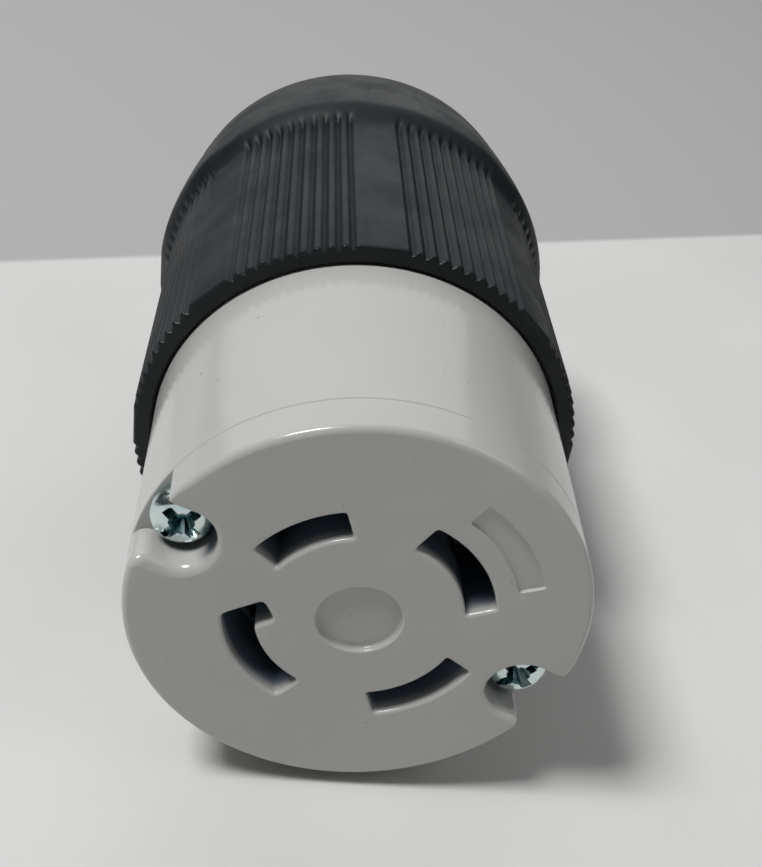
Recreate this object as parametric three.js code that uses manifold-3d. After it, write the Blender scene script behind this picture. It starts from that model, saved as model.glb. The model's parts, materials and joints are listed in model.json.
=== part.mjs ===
// Locking cord connector, female, with three poles and a ground.
//
// Millimetres, +Z up. The connector lies on a flat panel, with its axis along Y and its mating face
// towards -Y. Lengths along the axis are counted from the mating face and are called stations. Angles are
// seen from the mating side: 0 degrees is +X and 90 degrees is +Z. The origin is at the centre of the footprint, at
// the level of the lowest point.

import * as THREE from 'three';
import { mergeVertices } from 'three/addons/utils/BufferGeometryUtils.js';
import Module from 'manifold-3d';

const wasm = await Module();
wasm.setup();
const radians = THREE.MathUtils.degToRad;

// ---- Driving dimensions --------------------------------------------------------------------------------

const gap = 0.3; // between neighbours that are cut or turned
const overcut = 1; // how far a cutter runs past the face that it opens
const roundSegments = 72;
const boreSegments = 48;
const smallSegments = 20;
const curveSegments = 6; // in each arc of an extruded outline
const screwSegments = 16;
const flareSteps = 4;
const collarSteps = 4;

// Grey front: a face plate on a body with a slight draft
const faceRadius = 27;
const plateThickness = 5.3;
const exposedLength = 34.4; // mating face to the housing's front edge
const frontDraft = 0.5; // growth in radius over the exposed length
const rimRound = 0.8;

// Blade slots in the face plate
const bladeRadius = 13.95; // middle of the blades
const slotWidth = 3.6;
const slotEndSkew = 1.2; // degrees by which an end wall leans, each way
const mouthChamfer = 0.45;
const poles = [
  { name: 'x', from: 100.7, to: 144.8 },
  { name: 'y', from: 10.2, to: 65.2 },
  { name: 'z', from: -78.2, to: -26 },
  { name: 'ground', from: 181.1, to: 238.5 },
];
const hook = { radius: 10.4, angle: 178, direction: 207.7, length: 5, width: 3.1 }; // on the ground slot

// Recesses in the mating face
const discRadius = 5;
const discDepth = 0.8;
const badge = { inner: 18.5, outer: 21.6, from: 18.9, to: 56.5, depth: 0.4 };

// Assembly screws in notches at the rim
const screwCircle = 23.1;
const screwAngles = { left: 154.5, right: -25.5 };
const notchHalfWidth = 4.3;
const assemblyScrew = { headRadius: 3.7, headHeight: 2.6, shankRadius: 2, protrusion: 0.3, recess: 2.2 };

// Contacts and the cavities that hold them
const bladeThickness = 2.2;
const leafThickness = 0.8;
const contactSetback = 3.7; // mouth of a contact behind the face plate
const contactLength = 16.5;
const contactEndRoom = 2; // degrees of cavity past each end of a contact
const tab = { width: 8, thickness: 1.2 };

// Rear of the front body
const bodyShoulder = 2; // how far the full diameter enters the housing
const spigotRadius = 25.9;
const spigotLength = 4.6;

// Terminals
const terminal = { reach: 16, screwAt: 8, wireRoom: 3.25 }; // behind the front body
const pressurePlate = { width: 9, length: 10, thickness: 1.2 };
const terminalScrew = { headRadius: 3.4, headHeight: 2.4, shankRadius: 2, length: 8.6, recess: 1.2 };
const divider = { thickness: 1.6, hubRadius: 4, radius: 18, length: 16 };

// Rear housing: outer shape
const ribRadius = 30.35; // over the rib crests
const ribDepth = 0.6;
const panelCount = 8;
const panelWidth = 11; // degrees
const ribsPerSector = 9;
const ribCrestShare = 0.45; // of the rib pitch
const grooveRunout = 3; // length over which the grooves become shallow at the flare
const flareLength = 5.2;
const flangeRadius = 31.95;
const totalLength = 100;
const collarLength = 19.4; // smooth collar from the flange to the rear end
const collarCrown = 1.3; // exponent of the collar's crowned taper
const endRadius = 29.65;
const edgeRound = 0.8;

// Rear housing: inside
const rabbetGap = 0.3;
const boreGap = 0.3;
const insert = { radius: 3.2, flangeRadius: 4, flangeThickness: 0.8, length: 8.7 };
const bossMargin = 3.1; // how far a boss runs past the rear of its insert

// Cord entry
const cordHoleRadius = 9;
const grommet = { bodyRadius: 14, flangeRadius: 17.5, flangeThickness: 2.5 };
const endWallThickness = 6;

// Cord clamp in a pocket that opens to the rear
const clampPocket = { halfWidth: 18.5, halfHeight: 17.5 };
const jaw = { length: 12.7, setback: 1, parting: 3.2, ridges: 3, ridgeHeight: 0.6 };
const clampScrew = { headRadius: 3.6, headHeight: 2.6, shankRadius: 2, recess: 1.3, protrusion: 1.5 };
const clampScrewOffset = 12.8; // from the connector's axis
const clampSeatWall = 4; // housing wall between a screw's seat and the pocket
const counterboreGap = 0.5;
const clampNut = { width: 6.4, thickness: 3, fromParting: 9.9 };

// ---- Values that follow from them ----------------------------------------------------------------------

const slotInner = bladeRadius - slotWidth / 2;
const slotOuter = bladeRadius + slotWidth / 2;
const bodyFrontRadius = faceRadius + (frontDraft * plateThickness) / exposedLength;
const bodyRearRadius = faceRadius + frontDraft;
const shoulderStation = exposedLength + bodyShoulder;
const bodyRear = shoulderStation + spigotLength;
const housingBore = spigotRadius + boreGap;
const leafInner = bladeRadius - bladeThickness / 2 - leafThickness;
const leafOuter = bladeRadius + bladeThickness / 2 + leafThickness;
const contactFront = plateThickness + contactSetback;
const contactRear = contactFront + contactLength;
const tabOuter = bladeRadius + tab.thickness / 2;
const plateInner = tabOuter + terminal.wireRoom;
const plateOuter = plateInner + pressurePlate.thickness;
const terminalStation = bodyRear + terminal.screwAt;
const insertFront = bodyRear + gap;
const insertRear = insertFront + insert.length;
const bossFront = insertFront + insert.flangeThickness;
const assemblyScrewLength = insertRear + assemblyScrew.protrusion - plateThickness;
const flangeStation = totalLength - collarLength;
const ribEnd = flangeStation - flareLength; // station where the grooves start to run out
const jawRear = totalLength - jaw.setback;
const jawFront = jawRear - jaw.length;
const pocketFront = jawFront - gap;
const endWallStation = pocketFront - endWallThickness;
const clampStation = (jawFront + jawRear) / 2;
const clampSeat = clampPocket.halfWidth + clampSeatWall;
const nutSeat = jaw.parting / 2 + clampNut.fromParting;
const groovePitch = (360 / panelCount - panelWidth) / (ribsPerSector + 1);
const flatShare = Math.cos(radians(panelWidth / 2)); // of the radius, at the middle of a panel

// ---- Shape tools ---------------------------------------------------------------------------------------

function solidOf(geometry) {
  const bare = geometry.clone();
  bare.deleteAttribute('normal');
  bare.deleteAttribute('uv');
  const merged = mergeVertices(bare, 1e-5);
  const mesh = new wasm.Mesh({
    numProp: 3,
    vertProperties: Float32Array.from(merged.attributes.position.array),
    triVerts: Uint32Array.from(merged.index.array),
  });
  return new wasm.Manifold(mesh);
}

function geometryOf(solid) {
  const mesh = solid.getMesh();
  const geometry = new THREE.BufferGeometry();
  geometry.setAttribute('position', new THREE.BufferAttribute(mesh.vertProperties, 3));
  geometry.setIndex(new THREE.BufferAttribute(mesh.triVerts, 1));
  return geometry;
}

// Turns a geometry about the connector's axis, by the angle seen from the mating side.
function turned(geometry, angle) {
  return geometry.rotateY(-radians(angle));
}

function polarPoint(radius, angle) {
  return new THREE.Vector2(radius * Math.cos(radians(angle)), radius * Math.sin(radians(angle)));
}

// Solid of revolution about the connector's axis. The profile is a list of [radius, station] that starts
// and ends on the axis, or closes on itself, and runs with the material on its left.
function revolve(profile, segments = roundSegments) {
  const points = profile.map(([radius, station]) => new THREE.Vector2(radius, station));
  return new THREE.LatheGeometry(points, segments);
}

function cylinder(radius, from, to, segments = smallSegments) {
  return revolve([[0, from], [radius, from], [radius, to], [0, to]], segments);
}

// Prism of an outline in the plane across the axis, between two stations.
function prism(outline, from, to) {
  const depth = to - from;
  const geometry = new THREE.ExtrudeGeometry(outline, { depth, bevelEnabled: false, curveSegments });
  return geometry.rotateX(Math.PI / 2).translate(0, to, 0);
}

// Cutter that widens the mouth of a hole in the mating face by a chamfer.
function mouthCutter(outline) {
  const geometry = new THREE.ExtrudeGeometry(outline, {
    depth: overcut,
    bevelEnabled: true,
    bevelThickness: mouthChamfer,
    bevelSize: mouthChamfer,
    bevelSegments: 1,
    curveSegments,
  });
  return geometry.rotateX(Math.PI / 2);
}

function box(width, length, height, x, y, z) {
  return new THREE.BoxGeometry(width, length, height).translate(x, y, z);
}

function rectangle(halfWidth, halfHeight) {
  const outline = new THREE.Shape();
  outline.moveTo(-halfWidth, -halfHeight);
  outline.lineTo(halfWidth, -halfHeight);
  outline.lineTo(halfWidth, halfHeight);
  outline.lineTo(-halfWidth, halfHeight);
  outline.closePath();
  return outline;
}

// Band between two radii and two angles. The skew widens the inner edge and narrows the outer one.
function band(inner, outer, from, to, skew = 0) {
  const outline = new THREE.Shape();
  outline.absarc(0, 0, outer, radians(from + skew), radians(to - skew), false);
  outline.absarc(0, 0, inner, radians(to + skew), radians(from - skew), true);
  outline.closePath();
  return outline;
}

// Slot with a round inner end on the screw circle that runs out through the rim, along +X.
function notchOutline(halfWidth, reach) {
  const outline = new THREE.Shape();
  outline.moveTo(reach, halfWidth);
  outline.lineTo(screwCircle, halfWidth);
  outline.absarc(screwCircle, 0, halfWidth, Math.PI / 2, -Math.PI / 2, false);
  outline.lineTo(reach, -halfWidth);
  outline.closePath();
  return outline;
}

// Inward arm of the ground slot, grown by a margin all round.
function hookOutline(margin) {
  const end = polarPoint(hook.radius, hook.angle);
  const along = polarPoint(1, hook.direction);
  const across = new THREE.Vector2(-along.y, along.x).multiplyScalar(hook.width / 2 + margin);
  const start = end.clone().addScaledVector(along, -margin);
  const finish = end.clone().addScaledVector(along, hook.length);
  return new THREE.Shape([
    start.clone().sub(across),
    finish.clone().sub(across),
    finish.clone().add(across),
    start.clone().add(across),
  ]);
}

// Pan-head screw along +Y with its head's seat at 0 and its tip at the given length. The drive is a cross
// with one longer bar.
function panScrew(size) {
  const { headRadius, headHeight, shankRadius, length, recess } = size;
  const body = revolve([
    [0, -headHeight],
    [headRadius * 0.62, -headHeight * 0.93],
    [headRadius * 0.92, -headHeight * 0.7],
    [headRadius, -headHeight * 0.42],
    [headRadius, 0],
    [shankRadius, 0],
    [shankRadius, length - shankRadius / 2],
    [shankRadius / 2, length],
    [0, length],
  ], screwSegments);
  const barWidth = headRadius * 0.27;
  const top = -headHeight - overcut;
  const middle = (top - headHeight + recess) / 2;
  const depth = recess + overcut;
  const longBar = box(headRadius * 1.5, depth, barWidth, 0, middle, 0);
  const shortBar = box(barWidth, depth, headRadius * 1.15, 0, middle, 0);
  return solidOf(body).subtract(solidOf(longBar)).subtract(solidOf(shortBar));
}

// ---- Materials -----------------------------------------------------------------------------------------

function material(color, roughness, metalness) {
  return new THREE.MeshStandardMaterial({ color, roughness, metalness });
}

const finishes = {
  greyNylon: () => material(0xb9b9b3, 0.3, 0),
  blackNylon: () => material(0x2b2d30, 0.4, 0),
  innerPlastic: () => material(0x4a4c4e, 0.55, 0),
  brass: () => material(0xc9a04e, 0.35, 1),
  zinc: () => material(0xb8c4c6, 0.3, 1),
  greenZinc: () => material(0x2f7a45, 0.4, 0.6),
  rubber: () => material(0x1b1b1c, 0.85, 0),
};

const connector = new THREE.Group();
connector.position.set(0, -totalLength / 2, flangeRadius * flatShare);

function addPiece(name, solid, finish) {
  const mesh = new THREE.Mesh(geometryOf(solid), finishes[finish]());
  mesh.name = name;
  connector.add(mesh);
}

// ---- Grey front ----------------------------------------------------------------------------------------

function makeFacePlate() {
  const rimStart = faceRadius - rimRound;
  const rimMiddle = faceRadius - rimRound * (1 - Math.SQRT1_2);
  let plate = solidOf(revolve([
    [0, 0],
    [rimStart, 0],
    [rimMiddle, rimRound * (1 - Math.SQRT1_2)],
    [faceRadius, rimRound],
    [bodyFrontRadius, plateThickness],
    [0, plateThickness],
  ]));
  const behind = plateThickness + overcut;
  for (const angle of Object.values(screwAngles)) {
    const notch = prism(notchOutline(notchHalfWidth, faceRadius + overcut), -overcut, behind);
    plate = plate.subtract(solidOf(turned(notch, angle)));
  }
  for (const pole of poles) {
    const outline = band(slotInner, slotOuter, pole.from, pole.to, slotEndSkew);
    plate = plate.subtract(solidOf(prism(outline, -overcut, behind)));
    plate = plate.subtract(solidOf(mouthCutter(outline)));
  }
  plate = plate.subtract(solidOf(prism(hookOutline(0), -overcut, behind)));
  plate = plate.subtract(solidOf(mouthCutter(hookOutline(0))));
  plate = plate.subtract(solidOf(cylinder(discRadius, -overcut, discDepth, boreSegments)));
  const badgeOutline = band(badge.inner, badge.outer, badge.from, badge.to);
  return plate.subtract(solidOf(prism(badgeOutline, -overcut, badge.depth)));
}

function cavityOutline(pole) {
  return band(leafInner - gap, leafOuter + gap, pole.from - contactEndRoom, pole.to + contactEndRoom);
}

function tabAngle(pole) {
  return (pole.from + pole.to) / 2;
}

// Flat tab of a contact, grown by a margin, along the pole's own +X.
function tabBlock(margin, from, to) {
  const thickness = tab.thickness + 2 * margin;
  const width = tab.width + 2 * margin;
  return box(thickness, to - from, width, bladeRadius, (from + to) / 2, 0);
}

function makeFrontBody() {
  let body = solidOf(revolve([
    [0, plateThickness],
    [bodyFrontRadius, plateThickness],
    [bodyRearRadius, exposedLength],
    [bodyRearRadius, shoulderStation],
    [spigotRadius, shoulderStation],
    [spigotRadius, bodyRear],
    [0, bodyRear],
  ]));
  for (const pole of poles) {
    const cavity = prism(cavityOutline(pole), plateThickness - overcut, contactRear);
    const passage = tabBlock(gap, contactRear - overcut, bodyRear + overcut);
    body = body.subtract(solidOf(cavity)).subtract(solidOf(turned(passage, tabAngle(pole))));
  }
  body = body.subtract(solidOf(prism(hookOutline(gap), plateThickness - overcut, contactRear)));
  for (const angle of Object.values(screwAngles)) {
    const hole = cylinder(assemblyScrew.shankRadius + gap, plateThickness - overcut, bodyRear + overcut);
    body = body.subtract(solidOf(turned(hole.translate(screwCircle, 0, 0), angle)));
  }
  return body;
}

addPiece('face_plate', makeFacePlate(), 'greyNylon');
addPiece('front_body', makeFrontBody(), 'greyNylon');

// ---- Contacts and terminals ----------------------------------------------------------------------------

// Two curved leaves that spring on the blade, joined by a web at the rear, and a tab to the terminal.
function makeContact(pole) {
  const leaves = solidOf(prism(band(leafInner, leafOuter, pole.from, pole.to), contactFront, contactRear));
  const blade = band(
    leafInner + leafThickness,
    leafOuter - leafThickness,
    pole.from - contactEndRoom,
    pole.to + contactEndRoom,
  );
  const room = solidOf(prism(blade, contactFront - overcut, contactRear - leafThickness));
  const tabEnd = bodyRear + terminal.reach;
  const strip = tabBlock(0, contactRear - leafThickness, tabEnd);
  const hole = cylinder(terminalScrew.shankRadius + gap, bladeRadius - overcut, bladeRadius + overcut);
  const screwHole = hole.rotateZ(-Math.PI / 2).translate(0, terminalStation, 0);
  const angle = tabAngle(pole);
  return leaves
    .subtract(room)
    .add(solidOf(turned(strip, angle)))
    .subtract(solidOf(turned(screwHole, angle)));
}

function makePressurePlate(pole) {
  const { width, length, thickness } = pressurePlate;
  const middle = (plateInner + plateOuter) / 2;
  const plate = box(thickness, length, width, middle, terminalStation, 0);
  const hole = cylinder(terminalScrew.shankRadius + gap, plateInner - overcut, plateOuter + overcut);
  const screwHole = hole.rotateZ(-Math.PI / 2).translate(0, terminalStation, 0);
  const angle = tabAngle(pole);
  return solidOf(turned(plate, angle)).subtract(solidOf(turned(screwHole, angle)));
}

function makeTerminalScrew(pole) {
  const geometry = geometryOf(panScrew(terminalScrew));
  geometry.rotateZ(Math.PI / 2).translate(plateOuter, terminalStation, 0);
  return solidOf(turned(geometry, tabAngle(pole)));
}

// A cross of thin walls, each halfway between two neighbouring terminals.
function makeDivider() {
  let cross = solidOf(cylinder(divider.hubRadius, bodyRear, bodyRear + divider.length));
  const angles = poles.map(tabAngle).sort((a, b) => a - b);
  angles.forEach((angle, index) => {
    const next = angles[(index + 1) % angles.length] + (index + 1 === angles.length ? 360 : 0);
    const middle = bodyRear + divider.length / 2;
    const wall = box(divider.radius, divider.length, divider.thickness, divider.radius / 2, middle, 0);
    cross = cross.add(solidOf(turned(wall, (angle + next) / 2)));
  });
  return cross;
}

for (const pole of poles) {
  addPiece(`contact_${pole.name}`, makeContact(pole), 'brass');
  addPiece(`pressure_plate_${pole.name}`, makePressurePlate(pole), 'zinc');
  const screwFinish = pole.name === 'ground' ? 'greenZinc' : 'brass';
  addPiece(`terminal_screw_${pole.name}`, makeTerminalScrew(pole), screwFinish);
}
addPiece('wire_divider', makeDivider(), 'innerPlastic');

// ---- Assembly screws and the inserts they pull on -------------------------------------------------------

function makeAssemblyScrew(angle) {
  const screw = panScrew({ ...assemblyScrew, length: assemblyScrewLength });
  const geometry = geometryOf(screw).translate(screwCircle, plateThickness, 0);
  return solidOf(turned(geometry, angle));
}

function makeInsert(angle) {
  const bore = assemblyScrew.shankRadius + gap;
  const bush = revolve([
    [bore, insertFront],
    [insert.flangeRadius, insertFront],
    [insert.flangeRadius, bossFront],
    [insert.radius, bossFront],
    [insert.radius, insertRear],
    [bore, insertRear],
    [bore, insertFront],
  ], screwSegments);
  return solidOf(turned(bush.translate(screwCircle, 0, 0), angle));
}

for (const [side, angle] of Object.entries(screwAngles)) {
  addPiece(`assembly_screw_${side}`, makeAssemblyScrew(angle), 'zinc');
  addPiece(`thread_insert_${side}`, makeInsert(angle), 'brass');
}

// ---- Rear housing --------------------------------------------------------------------------------------

// Ring of points around the housing. Each has an angle, whether it lies on a groove's floor, whether it is
// the middle of a flat panel, and whether the coarse rings behind the ribs keep it.
function ringPoints() {
  const points = [];
  const crest = groovePitch * ribCrestShare;
  for (let sector = 0; sector < panelCount; sector += 1) {
    const centre = (360 / panelCount) * sector;
    points.push({ angle: centre - panelWidth / 2, coarse: true });
    points.push({ angle: centre, panel: true, coarse: true });
    points.push({ angle: centre + panelWidth / 2, coarse: true });
    for (let groove = 0; groove <= ribsPerSector; groove += 1) {
      const floor = centre + panelWidth / 2 + groovePitch * (groove + 0.5);
      points.push({ angle: floor, floor: true });
      if (groove < ribsPerSector) {
        const rib = floor + groovePitch / 2;
        points.push({ angle: rib - crest / 2, coarse: true });
        points.push({ angle: rib + crest / 2 });
      }
    }
  }
  return points;
}

// Radius over the rib crests and depth of the grooves, from the front edge to the rear end. An S-curve
// flares from the ribs up to the flange, where the panels are still flat, and the round collar behind it
// tapers with a crown.
function makeOuterProfile() {
  const profile = [
    { station: exposedLength, radius: ribRadius - edgeRound / 2, grooves: ribDepth },
    { station: exposedLength + edgeRound / 2, radius: ribRadius, grooves: ribDepth },
    { station: ribEnd, radius: ribRadius, grooves: ribDepth },
  ];
  for (let step = 1; step <= flareSteps; step += 1) {
    const share = step / flareSteps;
    const rise = (1 - Math.cos(Math.PI * share)) / 2;
    const grooves = ribDepth * Math.max(0, 1 - (share * flareLength) / grooveRunout);
    profile.push({
      station: ribEnd + flareLength * share,
      radius: ribRadius + (flangeRadius - ribRadius) * rise,
      grooves,
      coarse: step === flareSteps,
    });
  }
  const taperLength = collarLength - edgeRound;
  for (let step = 1; step <= collarSteps; step += 1) {
    const share = step / collarSteps;
    profile.push({
      station: flangeStation + taperLength * share,
      radius: flangeRadius - (flangeRadius - endRadius) * share ** collarCrown,
      coarse: true,
      round: true,
    });
  }
  profile.push({ station: totalLength, radius: endRadius - edgeRound, coarse: true, round: true });
  return profile;
}

function ringRadius(point, ring) {
  if (point.floor) return ring.radius - ring.grooves;
  return point.panel && !ring.round ? ring.radius * flatShare : ring.radius;
}

// Closed loft through rings of points. A ring may have fewer points than the one before it: each of its
// points then takes over a run of the finer ring.
function loftRings(points, profile) {
  const positions = [];
  const triangles = [];
  const rings = profile.map((ring) => {
    const numbered = points.map((point, index) => ({ point, index }));
    const kept = numbered.filter(({ point }) => !ring.coarse || point.coarse);
    const first = positions.length / 3;
    for (const { point } of kept) {
      const place = polarPoint(ringRadius(point, ring), point.angle);
      positions.push(place.x, ring.station, place.y);
    }
    return { first, order: kept.map(({ index }) => index) };
  });
  const cap = (ring, station, flip) => {
    const centre = positions.length / 3;
    positions.push(0, station, 0);
    ring.order.forEach((_, i) => {
      const here = ring.first + i;
      const next = ring.first + ((i + 1) % ring.order.length);
      triangles.push(...(flip ? [centre, next, here] : [centre, here, next]));
    });
  };
  for (let k = 0; k + 1 < rings.length; k += 1) {
    stitch(rings[k], rings[k + 1], triangles);
  }
  cap(rings[0], profile[0].station, false);
  cap(rings[rings.length - 1], profile[profile.length - 1].station, true);
  const geometry = new THREE.BufferGeometry();
  geometry.setAttribute('position', new THREE.Float32BufferAttribute(positions, 3));
  geometry.setIndex(triangles);
  return geometry;
}

// Joins a ring to the next one, which has the same points or a part of them.
function stitch(fine, coarse, triangles) {
  const count = fine.order.length;
  let at = coarse.order.length - 1;
  for (let i = 0; i < count; i += 1) {
    const here = coarse.order.indexOf(fine.order[i]);
    const before = coarse.first + at;
    const previous = fine.first + ((i + count - 1) % count);
    triangles.push(previous, before, fine.first + i);
    if (here >= 0) {
      triangles.push(before, coarse.first + here, fine.first + i);
      at = here;
    }
  }
}

// Cylinder across the connector, along X, at a clamp screw.
function crossHole(radius, from, to, height) {
  return cylinder(radius, from, to).rotateZ(-Math.PI / 2).translate(0, clampStation, height);
}

function makeHousing() {
  let shell = solidOf(loftRings(ringPoints(), makeOuterProfile()));
  const inside = revolve([
    [0, exposedLength - overcut],
    [bodyRearRadius + rabbetGap, exposedLength - overcut],
    [bodyRearRadius + rabbetGap, shoulderStation],
    [housingBore, shoulderStation],
    [housingBore, endWallStation],
    [grommet.bodyRadius + gap, endWallStation],
    [grommet.bodyRadius + gap, pocketFront + overcut],
    [0, pocketFront + overcut],
  ], boreSegments);
  shell = shell.subtract(solidOf(inside));
  const pocketOutline = rectangle(clampPocket.halfWidth, clampPocket.halfHeight);
  const pocket = prism(pocketOutline, pocketFront, totalLength + overcut);
  shell = shell.subtract(solidOf(pocket));
  const bossRear = insertRear + bossMargin;
  for (const angle of Object.values(screwAngles)) {
    const boss = prism(notchOutline(notchHalfWidth, housingBore + overcut), bossFront, bossRear);
    const hole = cylinder(insert.radius + gap, bossFront - overcut, bossRear + overcut);
    const flangeRoom = cylinder(insert.flangeRadius + gap, shoulderStation + overcut, bossFront);
    shell = shell
      .add(solidOf(turned(boss, angle)))
      .subtract(solidOf(turned(hole.translate(screwCircle, 0, 0), angle)))
      .subtract(solidOf(turned(flangeRoom.translate(screwCircle, 0, 0), angle)));
  }
  for (const height of [clampScrewOffset, -clampScrewOffset]) {
    const holeEnd = -clampPocket.halfWidth + overcut;
    const shankHole = crossHole(clampScrew.shankRadius + gap, -clampSeat - overcut, holeEnd, height);
    const headRoom = clampScrew.headRadius + counterboreGap;
    const counterbore = crossHole(headRoom, -flangeRadius, -clampSeat, height);
    shell = shell.subtract(solidOf(shankHole)).subtract(solidOf(counterbore));
  }
  return shell;
}

addPiece('rear_housing', makeHousing(), 'blackNylon');

// ---- Cord entry and clamp ------------------------------------------------------------------------------

function makeGrommet() {
  const flangeFront = endWallStation - grommet.flangeThickness;
  const bodyEnd = pocketFront - gap;
  return solidOf(revolve([
    [cordHoleRadius, flangeFront],
    [grommet.flangeRadius, flangeFront],
    [grommet.flangeRadius, endWallStation],
    [grommet.bodyRadius, endWallStation],
    [grommet.bodyRadius, bodyEnd],
    [cordHoleRadius, bodyEnd],
    [cordHoleRadius, flangeFront],
  ], smallSegments));
}

// Cord hole through both jaws, with ridges that bite on the jacket.
function ridgedHole() {
  const land = jaw.length / (2 * jaw.ridges + 1);
  const profile = [[0, jawFront - overcut]];
  for (let step = 0; step <= 2 * jaw.ridges; step += 1) {
    const radius = cordHoleRadius + (step % 2 === 0 ? jaw.ridgeHeight : 0);
    const from = step === 0 ? jawFront - overcut : jawFront + land * step;
    const to = step === 2 * jaw.ridges ? jawRear + overcut : jawFront + land * (step + 1);
    profile.push([radius, from], [radius, to]);
  }
  profile.push([0, jawRear + overcut]);
  return solidOf(revolve(profile, smallSegments));
}

function makeJaw(side) {
  const wallRoom = side < 0 ? 0 : 2 * gap;
  const near = jaw.parting / 2;
  const far = clampPocket.halfWidth - wallRoom;
  const middle = (side * (near + far)) / 2;
  const block = box(far - near, jaw.length, 2 * (clampPocket.halfHeight - gap), middle, clampStation, 0);
  let half = solidOf(block).subtract(ridgedHole());
  for (const height of [clampScrewOffset, -clampScrewOffset]) {
    const reach = clampPocket.halfWidth + overcut;
    const hole = crossHole(clampScrew.shankRadius + gap, -reach, reach, height);
    half = half.subtract(solidOf(hole));
    if (side > 0) {
      const width = clampNut.width + 2 * gap;
      const length = far - nutSeat + overcut;
      const pocket = box(length, width, width, nutSeat + length / 2, clampStation, height);
      half = half.subtract(solidOf(pocket));
    }
  }
  return half;
}

function makeClampNut(height) {
  const nutEnd = nutSeat + clampNut.thickness;
  const middle = (nutSeat + nutEnd) / 2;
  const nut = box(clampNut.thickness, clampNut.width, clampNut.width, middle, clampStation, height);
  const bore = crossHole(clampScrew.shankRadius + gap, nutSeat - overcut, nutEnd + overcut, height);
  return solidOf(nut).subtract(solidOf(bore));
}

function makeClampScrew(height) {
  const length = clampSeat + nutSeat + clampNut.thickness + clampScrew.protrusion;
  const geometry = geometryOf(panScrew({ ...clampScrew, length }));
  return solidOf(geometry.rotateZ(-Math.PI / 2).translate(-clampSeat, clampStation, height));
}

addPiece('cord_grommet', makeGrommet(), 'rubber');
addPiece('clamp_jaw_fixed', makeJaw(-1), 'blackNylon');
addPiece('clamp_jaw_moving', makeJaw(1), 'blackNylon');
for (const [place, height] of [['upper', clampScrewOffset], ['lower', -clampScrewOffset]]) {
  addPiece(`clamp_screw_${place}`, makeClampScrew(height), 'zinc');
  addPiece(`clamp_nut_${place}`, makeClampNut(height), 'zinc');
}

export default connector;
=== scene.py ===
import json
import math

import bmesh
import bpy
import numpy as np
from mathutils import Matrix, Vector
from mathutils.geometry import delaunay_2d_cdt


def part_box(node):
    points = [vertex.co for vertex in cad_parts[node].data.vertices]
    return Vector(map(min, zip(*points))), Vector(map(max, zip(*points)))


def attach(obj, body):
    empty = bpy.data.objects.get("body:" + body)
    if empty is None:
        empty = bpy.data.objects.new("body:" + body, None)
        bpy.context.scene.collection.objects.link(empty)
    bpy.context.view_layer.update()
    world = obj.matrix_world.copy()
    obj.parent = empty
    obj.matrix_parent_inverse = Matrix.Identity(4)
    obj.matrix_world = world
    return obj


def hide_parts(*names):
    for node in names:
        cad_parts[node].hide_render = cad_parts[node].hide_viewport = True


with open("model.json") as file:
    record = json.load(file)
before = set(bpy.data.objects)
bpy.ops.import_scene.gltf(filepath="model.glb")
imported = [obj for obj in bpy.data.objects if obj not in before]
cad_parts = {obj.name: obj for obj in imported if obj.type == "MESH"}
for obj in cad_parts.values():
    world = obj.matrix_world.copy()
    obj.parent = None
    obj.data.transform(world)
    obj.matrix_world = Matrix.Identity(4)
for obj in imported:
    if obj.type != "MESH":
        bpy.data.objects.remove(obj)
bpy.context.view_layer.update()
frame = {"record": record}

# Locking cord connector. Shapes are worked out in millimetres: x to the right, z up from the connector's
# axis, and the station, which counts along the axis from the mating face. Angles are seen from the mating
# side: 0 degrees is +X and 90 degrees is +Z.

MM = 0.001
plate_low, plate_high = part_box("face_plate")
housing_low, housing_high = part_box("rear_housing")
AXIS_HEIGHT = (plate_low.z + plate_high.z) / 2
MATING_Y = plate_low.y


def station_of(value):
    """Station in millimetres of a place along the row's Y."""
    return (value - MATING_Y) / MM


# ---- Sizes ------------------------------------------------------------------------------------------------

GAP = 0.3  # clearance between a piece and what it sits in
PARTING = 0.12  # depth of the line between the face plate and the front body
FACE_RADIUS = 27.0
RIM_ROUND = 0.8
NOTCH_ROUND = 0.7
FLOOR_MARGIN = 0.12  # flat ring round the floor of a recess, so that its edge doesn't tilt the shading
PLATE_THICKNESS = station_of(plate_high.y)
BODY_FRONT_RADIUS = (plate_high.z - plate_low.z) / 2 / MM
BODY_REAR_RADIUS = 27.5
EXPOSED = station_of(housing_low.y)
SHOULDER = EXPOSED + 2
SPIGOT_RADIUS = 25.9
BODY_REAR = station_of(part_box("front_body")[1].y)

BLADE_RADIUS = 13.95
SLOT_WIDTH = 3.6
SLOT_SKEW = 1.2  # degrees that a slot's ends lean
SLOT_MOUTH = 0.45
SLOT_CORNER = 0.35
GROUND_CORNER = 0.7  # with a smaller one the mouth of the ground slot crosses itself
POLES = {"x": (100.7, 144.8), "y": (10.2, 65.2), "z": (-78.2, -26), "ground": (181.1, 238.5)}
HOOK = {"radius": 10.4, "angle": 178, "direction": 207.7, "width": 3.1}

DISC_RADIUS = 5
DISC_DEPTH = 0.8
DISC_EDGE = 0.3
BADGE = {"inner": 18.5, "outer": 21.6, "from": 18.9, "to": 56.5, "depth": 0.4}
BADGE_CORNER = 0.5
BADGE_EDGE = 0.14
SCREW_CIRCLE = 23.1
SCREW_ANGLES = {"left": 154.5, "right": -25.5}
DRIVE_ANGLES = {"left": 45, "right": 40}
NOTCH_HALF_WIDTH = 4.3
# For each notch the half width and the tip's radius, on the side of lower and of higher angles
NOTCHES = {"right": ((4.3, 1.0), (4.3, 1.0)), "left": ((4.0, 0.5), (4.3, 1.8))}

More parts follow.
